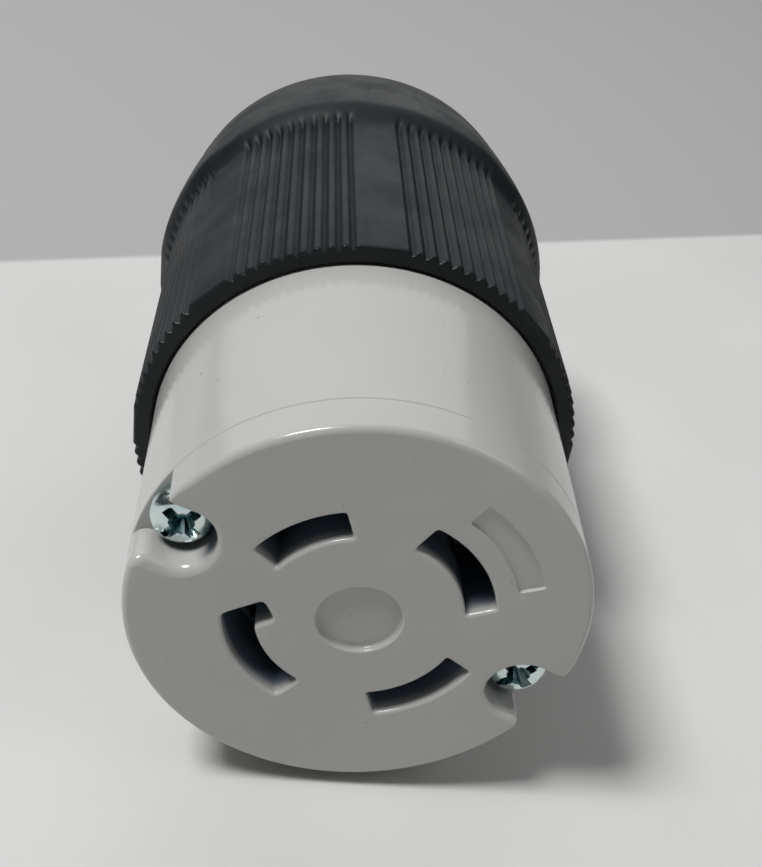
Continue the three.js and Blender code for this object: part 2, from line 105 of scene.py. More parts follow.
LEAF_INNER = 12.05
LEAF_OUTER = 15.85
LEAF = 0.8
CONTACT_FRONT = 9.0
CONTACT_REAR = 25.5
END_ROOM = 2
TAB_WIDTH = 8
TAB_THICKNESS = 1.2
TAB_END = BODY_REAR + 16
TERMINAL_STATION = BODY_REAR + 8
TERMINAL_BORE_DEPTH = 3
PLATE_INNER = 17.8
PLATE_OUTER = 19.0
PLATE_HALF = (4.5, 5)  # across and along the axis
PLATE_GROOVES = {"places": (2.9, 3.6), "half_width": 0.15, "depth": 0.25}
HUB_RADIUS = 4
HUB_BEVEL = 0.4
DIVIDER_REACH = 18
DIVIDER_HALF = 0.8

RIB_RADIUS = 30.35
RIB_DEPTH = 0.6
RIB_BEVEL = 0.35
PANELS = 8
PANEL_WIDTH = 11
SECTOR = 360 / PANELS
RIBS = 9
RIB_PITCH = (SECTOR - PANEL_WIDTH) / (RIBS + 1)
GROOVE_SHARE = 0.82  # of the rib pitch
RIB_END = 75.4
RIB_FADE = 3.0  # length over which the grooves run out into the flare
FLARE = 5.2
FLANGE_RADIUS = 31.95
FLANGE_STATION = 80.6
COLLAR_BLEND = 4.65  # length over which the panels fade into the round collar
END_RADIUS = 29.65
TOTAL = station_of(housing_high.y)
EDGE = 0.8
BORE = 26.2
INSERT_SEAT = 3.5
SCREW_PASSAGE = 4.3
HEAD_PASSAGE = 4.1
END_WALL = 80.0
GROMMET_RADIUS = 17.5
GROMMET_NECK = 14
GROMMET_OPENING = 14.3
POCKET_FRONT = 86.0
POCKET = (18.5, 17.5)
POCKET_CORNER = 0.8
JAW_FRONT = 86.3
JAW_REAR = 99.0
CLAMP_STATION = (JAW_FRONT + JAW_REAR) / 2
CLAMP_OFFSET = 12.8
CLAMP_SEAT = 22.5
NUT_SEAT = 11.5
NUT_THICKNESS = 3
NUT_WIDTH = 6.4
CORD_HOLE = 9.0
CORD_RIDGES = 3
CORD_RIDGE_HEIGHT = 0.6

SHANK = 2.0
THREAD_PITCH = 0.8
THREAD_LENGTH = 15
THREAD_DEPTH = 0.32
DRIVE_SHARE = 0.7  # the drive recess over the head
# Radius and height of the heads
ASSEMBLY_HEAD = (3.7, 2.6)
CLAMP_HEAD = (3.6, 2.6)
TERMINAL_HEAD = (3.4, 2.4)
TERMINAL_LENGTH = 8.6
TERMINAL_THREAD_DEPTH = 0.3

# ---- Outlines ---------------------------------------------------------------------------------------------

PITCH = 0.2
SOFT_PITCH = 0.1  # on the small rounds at the tips of the notches


def smooth(share):
    """0 to 1 with a soft start and a soft end."""
    share = min(1.0, max(0.0, share))
    return share * share * (3 - 2 * share)


def polar(radius, angle):
    return np.array((radius * math.cos(math.radians(angle)), radius * math.sin(math.radians(angle))))


def arc(radius, start, end, centre=(0.0, 0.0), pitch=PITCH):
    count = max(3, int(abs(math.radians(end - start)) * radius / pitch) + 1)
    angles = np.radians(np.linspace(start, end, count))
    return np.column_stack((centre[0] + radius * np.cos(angles), centre[1] + radius * np.sin(angles)))


def circle(radius, count, centre=(0.0, 0.0)):
    angles = np.linspace(0, 2 * math.pi, count, endpoint=False)
    return np.column_stack((centre[0] + radius * np.cos(angles), centre[1] + radius * np.sin(angles)))


def resample(points, pitch=PITCH):
    """Even spacing along a closed outline."""
    closed = np.vstack((points, points[:1]))
    length = np.concatenate(([0], np.cumsum(np.hypot(*np.diff(closed, axis=0).T))))
    at = np.linspace(0, length[-1], max(8, round(length[-1] / pitch)), endpoint=False)
    return np.column_stack((np.interp(at, length, closed[:, 0]), np.interp(at, length, closed[:, 1])))


def blur(values, reach, passes=2):
    """Moving average of what is given point by point round a closed outline."""
    for _ in range(passes):
        values = sum(np.roll(values, k, axis=0) for k in range(-reach, reach + 1)) / (2 * reach + 1)
    return values


def soften(points, window, passes=2):
    """Rounds the corners of an even outline."""
    pitch = np.hypot(*(points[1] - points[0]))
    return blur(points, max(1, round(window / pitch / 2)), passes)


def grow(points, distance):
    """Moves an outline that runs anticlockwise outwards, point by point."""
    along = np.roll(points, -1, axis=0) - np.roll(points, 1, axis=0)
    along /= np.hypot(along[:, 0], along[:, 1])[:, None]
    return points + np.reshape(distance, (-1, 1)) * np.column_stack((along[:, 1], -along[:, 0]))


def turn(points, angle):
    c, s = math.cos(math.radians(angle)), math.sin(math.radians(angle))
    return points @ np.array(((c, s), (-s, c)))


def band(inner, outer, start, end, skew=0.0):
    points = np.vstack((arc(outer, start + skew, end - skew), arc(inner, end + skew, start - skew)))
    return resample(points)


def rectangle(low, high):
    corners = np.array(((low[0], low[1]), (high[0], low[1]), (high[0], high[1]), (low[0], high[1])))
    return resample(corners, 0.5)


def on_circle(start, direction, radius):
    """Where a ray crosses a circle round the axis."""
    b = start @ direction
    return start + direction * (-b + math.sqrt(b * b - start @ start + radius * radius))


def ground_outline(inner, outer, margin=0.0, room=0.0, skew=0.0):
    """Ground slot with its inward arm, whose straight edges run out to the slot's two arcs."""
    along = polar(1, HOOK["direction"])
    across = np.array((-along[1], along[0])) * (HOOK["width"] / 2 + margin)
    tip = polar(HOOK["radius"], HOOK["angle"]) - along * margin
    upper = on_circle(tip - across, along, outer)
    lower = on_circle(tip + across, along, inner)
    end = POLES["ground"][1] + room
    start_angle = math.degrees(math.atan2(upper[1], upper[0])) % 360
    lower_angle = math.degrees(math.atan2(lower[1], lower[0])) % 360
    points = np.vstack((
        arc(outer, start_angle, end - skew),
        arc(inner, end + skew, lower_angle),
        (tip + across, tip - across),
    ))
    return resample(points)


def slot_outline(pole, width=SLOT_WIDTH, margin=0.0, room=0.0, skew=0.0):
    inner, outer = BLADE_RADIUS - width / 2 - margin, BLADE_RADIUS + width / 2 + margin
    if pole == "ground":
        return ground_outline(inner, outer, margin, room, skew)
    start, end = POLES[pole]
    return band(inner, outer, start - room, end + room, skew)


def notch_tip(radius, half, corner):
    """Distance along a notch to the centre of the round at its tip, and the angle where it meets the rim."""
    along = math.sqrt((radius - corner) ** 2 - (half + corner) ** 2)
    return along, math.degrees(math.atan2(half + corner, along))


def notched_rim(radius):
    """Round rim with the two notches for the assembly screws. Each has a round inner end and rounded tips."""
    parts, starts, ends = [], [], []
    for side in ("right", "left"):
        (low_half, low_corner), (high_half, high_corner) = NOTCHES[side]
        low, low_angle = notch_tip(radius, low_half, low_corner)
        high, high_angle = notch_tip(radius, high_half, high_corner)
        inner = (low_half + high_half) / 2
        notch = np.vstack((
            arc(low_corner, -low_angle, 90, (low, -low_half - low_corner), SOFT_PITCH),
            arc(inner, 270, 90, (SCREW_CIRCLE, (high_half - low_half) / 2)),
            arc(high_corner, 270, 360 + high_angle, (high, high_half + high_corner), SOFT_PITCH),
        ))
        parts.append(turn(notch, SCREW_ANGLES[side]))
        starts.append(SCREW_ANGLES[side] - low_angle)
        ends.append(SCREW_ANGLES[side] + high_angle)
    parts.insert(1, arc(radius, ends[0], starts[1])[1:-1])
    parts.append(arc(radius, ends[1], starts[0] + 360)[1:-1])
    return resample(np.vstack(parts))


# ---- Meshes -----------------------------------------------------------------------------------------------


class Solid:
    """Mesh made of rings of points that lie across the axis, each at its own station."""

    def __init__(self):
        self.vertices = []
        self.faces = []

    def ring(self, outline, station):
        first = len(self.vertices)
        stations = np.broadcast_to(station, len(outline))
        self.vertices += [(x, y, z) for (x, z), y in zip(outline, stations)]
        return list(range(first, len(self.vertices)))

    def wall(self, one, other):
        for i in range(len(one)):
            j = (i + 1) % len(one)
            self.faces.append((one[i], one[j], other[j], other[i]))

    def strip(self, outline, steps):
        """Walls through steps of (growth, station). Gives the first and the last ring."""
        rings = [self.ring(grow(outline, growth), station) for growth, station in steps]
        for one, other in zip(rings, rings[1:]):
            self.wall(one, other)
        return rings[0], rings[-1]

    def fill(self, outer, holes=()):
        """Flat face inside one ring and outside the others."""
        loops = [outer, *holes]
        order = [index for loop in loops for index in loop]
        flat = np.array([(self.vertices[i][0], self.vertices[i][2]) for i in order])
        edges, first = [], 0
        for loop in loops:
            edges += [(first + i, first + (i + 1) % len(loop)) for i in range(len(loop))]
            first += len(loop)
        made = delaunay_2d_cdt([Vector(p) for p in flat], edges, [], 1, 1e-6)
        places = np.array([tuple(p) for p in made[0]])
        source = {new: order[old[0]] for new, old in enumerate(made[3]) if old}
        triangles = np.array([f for f in made[2]])
        middles = places[triangles].mean(axis=1)
        keep = inside(middles, flat[:len(outer)])
        first = len(outer)
        for loop in holes:
            keep &= ~inside(middles, flat[first:first + len(loop)])
            first += len(loop)
        self.faces += [tuple(source[i] for i in f) for f in triangles[keep]]


def inside(points, outline):
    """Which points lie inside a closed outline."""
    found = np.zeros(len(points), bool)
    x, y = points[:, 0], points[:, 1]
    for (x0, y0), (x1, y1) in zip(outline, np.roll(outline, -1, axis=0)):
        if y0 != y1:
            crosses = (y0 > y) != (y1 > y)
            found ^= crosses & (x < (x1 - x0) * (y - y0) / (y1 - y0) + x0)
    return found


def mesh_of(vertices, faces, name="shape"):
    mesh = bpy.data.meshes.new(name)
    mesh.from_pydata([tuple(map(float, v)) for v in vertices], [], [tuple(map(int, f)) for f in faces])
    work = bmesh.new()
    work.from_mesh(mesh)
    bmesh.ops.remove_doubles(work, verts=work.verts, dist=1e-5)
    loose = [v for v in work.verts if not v.link_faces]
    bmesh.ops.delete(work, geom=loose, context="VERTS")
    bmesh.ops.recalc_face_normals(work, faces=work.faces)
    work.to_mesh(mesh)
    work.free()
    return mesh


def lathe(profile, count=96, thread=None):
    """Closed solid of revolution about the axis. The profile is a list of (radius, station). A thread is
    (from, to, depth): a helical ridge cut into the stretch between two stations."""
    angles = np.linspace(0, 2 * math.pi, count, endpoint=False)
    vertices, faces = [], []
    closed = profile[0][0] > 0
    for radius, station in profile:
        ring = np.full(count, float(radius))
        if thread and thread[0] < station < thread[1] and radius > SHANK * 0.6:
            phase = (station / THREAD_PITCH + angles / (2 * math.pi)) % 1
            ramp = np.minimum(1, np.minimum(station - thread[0], thread[1] - station) / THREAD_PITCH)
            ring -= thread[2] * ramp * np.clip(2.6 * np.abs(phase - 0.5) - 0.15, 0, 1)
        vertices += [(r * math.cos(a), station, r * math.sin(a)) for r, a in zip(ring, angles)]
    rows = len(profile)
    for k in range(rows if closed else rows - 1):
        here, there = k * count, ((k + 1) % rows) * count
        for i in range(count):
            j = (i + 1) % count
            faces.append((here + i, here + j, there + j, there + i))
    return mesh_of(vertices, [tuple(dict.fromkeys(f)) for f in faces])


def rod(radius, start, end, count=48):
    """Round rod along the axis, for cutting bores."""
    return lathe([(0, start), (radius, start), (radius, end), (0, end)], count)


def prism(outline, start, end, edge=0.0):
    """Prism across the axis, with a small round along both ends if edge is given."""
    solid = Solid()
    if edge:
        steps = [(-edge, start), (-0.3 * edge, start + 0.3 * edge), (0, start + edge)]
        steps += [(0, end - edge), (-0.3 * edge, end - 0.3 * edge), (-edge, end)]
    else:
        steps = [(0, start), (0, end)]
    first, last = solid.strip(outline, steps)
    solid.fill(first)
    solid.fill(last)
    return mesh_of(solid.vertices, solid.faces)


def block(low, high):
    (x0, y0, z0), (x1, y1, z1) = low, high
    corners = [(x, y, z) for x in (x0, x1) for y in (y0, y1) for z in (z0, z1)]
    faces = [(0, 1, 3, 2), (4, 6, 7, 5), (0, 4, 5, 1), (2, 3, 7, 6), (0, 2, 6, 4), (1, 5, 7, 3)]
    return mesh_of(corners, faces)


def moved(mesh, matrix):
    mesh.transform(matrix)
    return mesh


def shifted(mesh, x=0.0, station=0.0, z=0.0):
    return moved(mesh, Matrix.Translation((x, station, z)))


def turned(mesh, angle):
    """Turns a mesh about the connector's axis."""
    return moved(mesh, Matrix.Rotation(-math.radians(angle), 4, "Y"))


def radial(mesh):
    """Lays a mesh made along the axis along +X instead."""
    return moved(mesh, Matrix.Rotation(-math.pi / 2, 4, "Z"))


def combine(mesh, others, operation):
    """Boolean of one mesh with others, one after another."""
    collection = bpy.context.scene.collection
    target = bpy.data.objects.new("target", mesh)
    collection.objects.link(target)
    tools = []
    for other in others:
        tool = bpy.data.objects.new("tool", other)
        collection.objects.link(tool)
        tools.append(tool)
        modifier = target.modifiers.new("cut", "BOOLEAN")
        modifier.operation = operation
        modifier.solver = "MANIFOLD"
        modifier.object = tool
    depsgraph = bpy.context.evaluated_depsgraph_get()
    result = bpy.data.meshes.new_from_object(target.evaluated_get(depsgraph))
    for piece in (target, *tools):
        bpy.data.objects.remove(piece)
    return result


def cut(mesh, *others):
    return combine(mesh, others, "DIFFERENCE")


def join(mesh, *others):
    return combine(mesh, others, "UNION")


# ---- Materials --------------------------------------------------------------------------------------------


class Finish:
    """Small helper that wires a Principled material."""

    def __init__(self, name, colour, roughness, metallic=0.0):
        self.material = bpy.data.materials.new(name)
        self.material.use_nodes = True
        self.tree = self.material.node_tree
        self.shader = self.tree.nodes["Principled BSDF"]
        self.shader.inputs["Base Color"].default_value = (*colour, 1)
        self.shader.inputs["Roughness"].default_value = roughness
        self.shader.inputs["Metallic"].default_value = metallic
        self.place = self.add("ShaderNodeTexCoord").outputs["Object"]

    def add(self, kind, **values):
        node = self.tree.nodes.new(kind)
        for key, value in values.items():
            setattr(node, key, value)
        return node

    def link(self, source, target):
        self.tree.links.new(source, target)

    def noise(self, scale, detail=3.0, roughness=0.5, stretch=None):
        node = self.add("ShaderNodeTexNoise")
        node.inputs["Scale"].default_value = scale
        node.inputs["Detail"].default_value = detail
        node.inputs["Roughness"].default_value = roughness
        place = self.place
        if stretch:
            mapping = self.add("ShaderNodeMapping")
            mapping.inputs["Scale"].default_value = stretch
            self.link(place, mapping.inputs["Vector"])
            place = mapping.outputs["Vector"]
        self.link(place, node.inputs["Vector"])
        return node.outputs["Fac"]

    def ramp(self, source, low, high, to_low=0.0, to_high=1.0):
        node = self.add("ShaderNodeMapRange")
        node.interpolation_type = "SMOOTHSTEP"
        for key, value in (("From Min", low), ("From Max", high), ("To Min", to_low), ("To Max", to_high)):
            node.inputs[key].default_value = value
        self.link(source, node.inputs["Value"])
        return node.outputs["Result"]

    def mix(self, factor, one, other):
        node = self.add("ShaderNodeMix", data_type="RGBA")
        for socket, value in ((node.inputs[6], one), (node.inputs[7], other)):
            if isinstance(value, tuple):
                socket.default_value = (*value, 1)
            else:
                self.link(value, socket)
        if isinstance(factor, float):
            node.inputs[0].default_value = factor
        else:
            self.link(factor, node.inputs[0])
        return node.outputs[2]

    def math(self, operation, one, other):
        node = self.add("ShaderNodeMath", operation=operation)
        for socket, value in zip(node.inputs, (one, other)):
            if isinstance(value, (int, float)):
                socket.default_value = value
            else:
                self.link(value, socket)
        return node.outputs[0]

    def bump(self, height, strength, distance, after=None):
        node = self.add("ShaderNodeBump")
        node.inputs["Strength"].default_value = strength
        node.inputs["Distance"].default_value = distance
        self.link(height, node.inputs["Height"])
        if after:
            self.link(after, node.inputs["Normal"])
        return node.outputs["Normal"]

    def set(self, name, source):
        self.link(source, self.shader.inputs[name])


def shade(colour, factor):
    return tuple(c * factor for c in colour)


def moulded(name, colour, roughness, mottle=0.04, specks=0.0, grain=0.25, scuffs=0.12, cavity=None,
            shine=0.5):
    """Moulded plastic: faint clouding, specks, dull scuffs that run along the part, and fine grain. A colour
    of painted shade, if one is given, takes over a little way into the slots, where shade falls."""
    finish = Finish(name, colour, roughness)
    clouds = finish.ramp(finish.noise(60, 4), 0.3, 0.7)
    tone = finish.mix(clouds, shade(colour, 1 - mottle), shade(colour, 1 + mottle))
    if specks:
        dots = finish.ramp(finish.noise(900, 2), 0.72, 0.78, 0.0, specks)
        tone = finish.mix(dots, tone, shade(colour, 0.35))
    streaks = finish.ramp(finish.noise(260, 5, 0.65, (1.0, 0.25, 1.0)), 0.55, 0.75)
    tone = finish.mix(finish.math("MULTIPLY", streaks, 0.25), tone, shade(colour, 1 + 2 * mottle))
    # Painted shade: the colour turns dark a little way into the slots, where shade falls.
    if cavity:
        tone = finish.mix(slot_shade_mask(finish), tone, cavity)
    finish.set("Base Color", tone)
    finish.shader.inputs["Specular IOR Level"].default_value = shine
    patches = finish.ramp(finish.noise(140, 4), 0.35, 0.7, roughness * 0.85, roughness * 1.15)
    finish.set("Roughness", finish.math("ADD", patches, finish.math("MULTIPLY", streaks, scuffs)))
    fine = finish.bump(finish.noise(5200, 2), grain, 0.00002)
    finish.set("Normal", finish.bump(finish.noise(180, 2), 0.18, 0.0003, fine))
    return finish.material


# Painted shade in the slots: within this radius of the axis and past these depths the colour turns to the
# slot shade colour, which stands in for the shade that falls there.
SLOT_SHADE_REACH = 19 * MM
SLOT_SHADE_FADE = (0.5, 2.4)  # depths in mm over which the painted slot shade takes over from the outside's colour


def slot_shade_mask(finish):
    """Mask of the painted shade in the slots: 0 on the outside, 1 from a little way into the slots and
    cavities round the axis.
    """
    split = finish.add("ShaderNodeSeparateXYZ")
    finish.link(finish.place, split.inputs[0])
    x, y, z = split.outputs
    height = finish.math("SUBTRACT", z, AXIS_HEIGHT)
    squares = finish.math("ADD", finish.math("MULTIPLY", x, x), finish.math("MULTIPLY", height, height))
    radius = finish.math("SQRT", squares, 0.0)
    within = finish.ramp(radius, SLOT_SHADE_REACH, SLOT_SHADE_REACH + 0.5 * MM, 1.0, 0.0)
    deep = finish.ramp(y, *(MATING_Y + depth * MM for depth in SLOT_SHADE_FADE))
    ahead = finish.ramp(y, MATING_Y + CONTACT_REAR * MM, MATING_Y + BODY_REAR * MM, 1.0, 0.0)
    return finish.math("MULTIPLY", finish.math("MULTIPLY", within, deep), ahead)


PLATING_GRAIN = 0.04
# Reach of the ambient occlusion that paints shade into small hollows
RECESS_SHADE_REACH = 1.6 * MM


def plated(name, colour, roughness, tint=None, recess_shade=None, cavity=None):
    """Plated or rolled metal: clouded tone, tarnish, tool marks round the axis and fine scratches. Two
    colours of painted shade can be given: one for small hollows, such as a screw's drive, which ambient
    occlusion finds, and one for a little way into the slots."""
    finish = Finish(name, colour, roughness, 1.0)
    clouds = finish.ramp(finish.noise(700, 3), 0.35, 0.65)
    tone = finish.mix(clouds, colour, tint or shade(colour, 0.8))
    stains = finish.ramp(finish.noise(330, 4, 0.6), 0.6, 0.76, 0.0, 0.25)
    tone = finish.mix(stains, tone, shade(colour, 0.45))
    # Painted shade: where ambient occlusion finds a small hollow, such as a screw's drive, the colour turns
    # to the given shade colour.
    if recess_shade:
        open_sky = finish.add("ShaderNodeAmbientOcclusion", samples=8)
        open_sky.inputs["Distance"].default_value = RECESS_SHADE_REACH
        tone = finish.mix(finish.ramp(open_sky.outputs["AO"], 0.35, 0.8), recess_shade, tone)
    # Painted shade: the colour turns dark a little way into the slots, where shade falls.
    if cavity:
        tone = finish.mix(slot_shade_mask(finish), tone, cavity)
    finish.set("Base Color", tone)
    finish.set("Roughness", finish.ramp(finish.noise(1500, 3), 0.3, 0.7, roughness * 0.7, roughness * 1.5))
    finish.set("Normal", finish.bump(finish.noise(2600, 3, 0.6, (1.0, 0.2, 1.0)), PLATING_GRAIN, 0.00003))
    return finish.material


GREY = (0.472, 0.468, 0.452)
# Painted shade: a dark blue-grey that stands in for the shade deep in the slots.
SLOT_SHADE = (0.14, 0.175, 0.22)
BLACK = (0.009, 0.0115, 0.0135)
materials = {
    # The grey nylon gets painted shade a little way into the slots.
    "grey_nylon": moulded("grey_nylon", GREY, 0.17, 0.012, 0.5, 0.06, 0.1, SLOT_SHADE),
    "black_nylon": moulded("black_nylon", BLACK, 0.46, 0.12, 0.0, 0.5, 0.12, None, 0.26),
    "clamp_nylon": moulded("clamp_nylon", (0.03, 0.03, 0.032), 0.5, 0.1, 0.0, 0.4, 0.1),
    "inner_plastic": moulded("inner_plastic", (0.07, 0.073, 0.075), 0.5, 0.08, 0.0, 0.4, 0.1),
    "rubber": moulded("rubber", (0.018, 0.018, 0.018), 0.75, 0.15, 0.0, 0.6, 0.1),
    # The brass contacts get painted shade where they sit in the slots.
    "brass": plated("brass", (0.72, 0.5, 0.2), 0.3, (0.6, 0.38, 0.14), None, SLOT_SHADE),
    # The zinc steel gets a dark teal painted shade in the screws' drives.
    "zinc_steel": plated("zinc_steel", (0.62, 0.76, 0.78), 0.2, (0.7, 0.78, 0.74), (0.06, 0.2, 0.22)),
    "ground_screw": plated("ground_screw", (0.05, 0.32, 0.12), 0.3, (0.1, 0.4, 0.14)),
}

# ---- Pieces -----------------------------------------------------------------------------------------------

BODY_OF = {node: body for body, nodes in frame["record"]["behaviour"]["bodies"].items() for node in nodes}


def add_piece(node, mesh, slot, edge=0.0, sharp=32):
    """Puts a mesh in the row's frame as the piece that stands for a node. An edge is a small bevel."""
    mesh.transform(Matrix.Translation((0, MATING_Y, AXIS_HEIGHT)) @ Matrix.Scale(MM, 4))
    mesh.name = f"{node}_visual"
    mesh.polygons.foreach_set("use_smooth", [True] * len(mesh.polygons))
    mesh.set_sharp_from_angle(angle=math.radians(sharp))
    mesh.materials.clear()
    mesh.materials.append(materials[slot])
    piece = bpy.data.objects.new(f"{node}_visual", mesh)
    bpy.context.scene.collection.objects.link(piece)
    if edge:
        bevel = piece.modifiers.new("edges", "BEVEL")
        bevel.width = edge * MM
        bevel.segments = 2
        bevel.limit_method = "ANGLE"
        bevel.angle_limit = math.radians(sharp)
        bevel.harden_normals = False
    normals = piece.modifiers.new("normals", "WEIGHTED_NORMAL")
    normals.keep_sharp = True
    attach(piece, BODY_OF[node])
    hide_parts(node)
    return piece


def round_over(radius, steps=5):
    """(inset, depth) pairs of a quarter round from a face to the wall below it."""
    angles = np.radians(np.linspace(0, 90, steps + 1))
    return [(radius * (1 - math.sin(a)), radius * (1 - math.cos(a))) for a in angles]


def hole(solid, outline, edge, depth, floor=0.0):
    """Walls of an opening from the face down, with a rounded mouth. Gives its first and last ring."""
    steps = round_over(edge)
    if floor:
        steps += [(-floor * (1 - math.cos(a)), depth - floor + floor * math.sin(a))
                  for a in np.radians((0, 22, 45, 67, 90))]
        steps.append((-floor - FLOOR_MARGIN, depth))
    else:
        steps.append((0, depth))
    return solid.strip(outline, steps)


def rim_edges(rim):
    """Radius of the round along the plate's outline: broad on the lower side of the left notch, and small
    at its sharp upper tip."""
    local = turn(rim, -SCREW_ANGLES["left"])
    beside = np.abs(local[:, 1]) < NOTCH_HALF_WIDTH + 0.6
    within = beside & (local[:, 0] > SCREW_CIRCLE - NOTCH_HALF_WIDTH - 1)
    low_side = np.clip(local[:, 1] / NOTCH_HALF_WIDTH, 0, 1)
    edges = RIM_ROUND + np.where(within, NOTCH_ROUND * low_side, 0)
    half, corner = NOTCHES["left"][0]
    tip = (notch_tip(FACE_RADIUS, half, corner)[0], -half - corner)
    away = np.maximum(0, np.hypot(*(local - tip).T) - 2 * corner)
    return np.minimum(blur(edges, 5), 0.8 * corner + 0.16 * away)


def make_face_plate():
    solid = Solid()
    rim = soften(notched_rim(FACE_RADIUS), 0.4, 1)
    draft = BODY_FRONT_RADIUS - FACE_RADIUS
    steps = [(-inset, depth) for inset, depth in round_over(rim_edges(rim), 8)]
    steps += [(draft - 0.01, PLATE_THICKNESS - PARTING), (draft - PARTING, PLATE_THICKNESS)]
    front, back = solid.strip(rim, steps)
    mouths, ends = [], []
    for pole in POLES:
        corner = GROUND_CORNER if pole == "ground" else SLOT_CORNER
        outline = soften(slot_outline(pole, skew=SLOT_SKEW), corner)
        mouth, end = hole(solid, outline, SLOT_MOUTH, PLATE_THICKNESS)
        mouths.append(mouth)
        ends.append(end)
    disc, disc_floor = hole(solid, circle(DISC_RADIUS, 128), DISC_EDGE, DISC_DEPTH, DISC_EDGE)
    badge_outline = band(BADGE["inner"], BADGE["outer"], BADGE["from"], BADGE["to"])
    badge_outline = soften(badge_outline, BADGE_CORNER)
    badge, badge_floor = hole(solid, badge_outline, BADGE_EDGE, BADGE["depth"], BADGE_EDGE)
    solid.fill(front, [*mouths, disc, badge])
    solid.fill(disc_floor)
    solid.fill(badge_floor)
    solid.fill(back, ends)
    return mesh_of(solid.vertices, solid.faces)


def tab_outline(angle, margin):
    near = BLADE_RADIUS - TAB_THICKNESS / 2 - margin
    far = BLADE_RADIUS + TAB_THICKNESS / 2 + margin
    half = TAB_WIDTH / 2 + margin
    return turn(rectangle((near, -half), (far, half)), angle)


def tab_angle(pole):
    return sum(POLES[pole]) / 2


def make_front_body():
    solid = Solid()
    outer = circle(1, 288)
    profile = [
        (BODY_FRONT_RADIUS - PARTING, PLATE_THICKNESS),
        (BODY_FRONT_RADIUS, PLATE_THICKNESS + PARTING),
        (BODY_REAR_RADIUS, EXPOSED),
        (BODY_REAR_RADIUS, SHOULDER - 0.2),
        (BODY_REAR_RADIUS - 0.2, SHOULDER),
        (SPIGOT_RADIUS, SHOULDER),
        (SPIGOT_RADIUS, BODY_REAR - 0.4),
        (SPIGOT_RADIUS - 0.4, BODY_REAR),
    ]
    rings = [solid.ring(outer * radius, station) for radius, station in profile]
    for one, other in zip(rings, rings[1:]):
        solid.wall(one, other)
    fronts, backs = [], []
    cavity_width = LEAF_OUTER - LEAF_INNER
    for pole in POLES:
        cavity = soften(slot_outline(pole, cavity_width, GAP, END_ROOM), 0.5)
        front, floor = solid.strip(cavity, [(0, PLATE_THICKNESS), (0, CONTACT_REAR)])
        tab = tab_outline(tab_angle(pole), GAP)
        passage, back = solid.strip(tab, [(0, CONTACT_REAR), (0, BODY_REAR)])
        solid.fill(floor, [passage])
        fronts.append(front)
        backs.append(back)
    for angle in SCREW_ANGLES.values():
        bore = circle(SHANK + GAP, 40, polar(SCREW_CIRCLE, angle))
        front, back = solid.strip(bore, [(0, PLATE_THICKNESS), (0, BODY_REAR)])
        fronts.append(front)
        backs.append(back)
    solid.fill(rings[0], fronts)
    solid.fill(rings[-1], backs)
    return mesh_of(solid.vertices, solid.faces)


def make_contact(pole):
    start, end = POLES[pole]
    leaves = prism(band(LEAF_INNER, LEAF_OUTER, start, end), CONTACT_FRONT, CONTACT_REAR)
    room_outline = band(LEAF_INNER + LEAF, LEAF_OUTER - LEAF, start - END_ROOM, end + END_ROOM)
    leaves = cut(leaves, prism(room_outline, CONTACT_FRONT - 1, CONTACT_REAR - LEAF))
    angle = tab_angle(pole)
    tab = prism(tab_outline(angle, 0), CONTACT_REAR - LEAF, TAB_END)
    bore = radial(rod(SHANK + GAP, 0, TERMINAL_BORE_DEPTH))
    bore = turned(shifted(bore, BLADE_RADIUS - TERMINAL_BORE_DEPTH / 2, TERMINAL_STATION), angle)
    return cut(join(leaves, tab), bore)


def make_pressure_plate(pole):
    half, long_half = PLATE_HALF
    front, rear = TERMINAL_STATION - long_half, TERMINAL_STATION + long_half
    plate = block((PLATE_INNER, front, -half), (PLATE_OUTER, rear, half))
    bore = shifted(radial(rod(SHANK + GAP, 0, TERMINAL_BORE_DEPTH)), PLATE_INNER - 1, TERMINAL_STATION)
    grooves, groove_half = [], PLATE_GROOVES["half_width"]
    for side in (-1, 1):
        for place in PLATE_GROOVES["places"]:
            low = (PLATE_INNER - 1, front - 1, side * place - groove_half)
            high = (PLATE_INNER + PLATE_GROOVES["depth"], rear + 1, side * place + groove_half)
            grooves.append(block(low, high))
    return turned(cut(plate, bore, *grooves), tab_angle(pole))


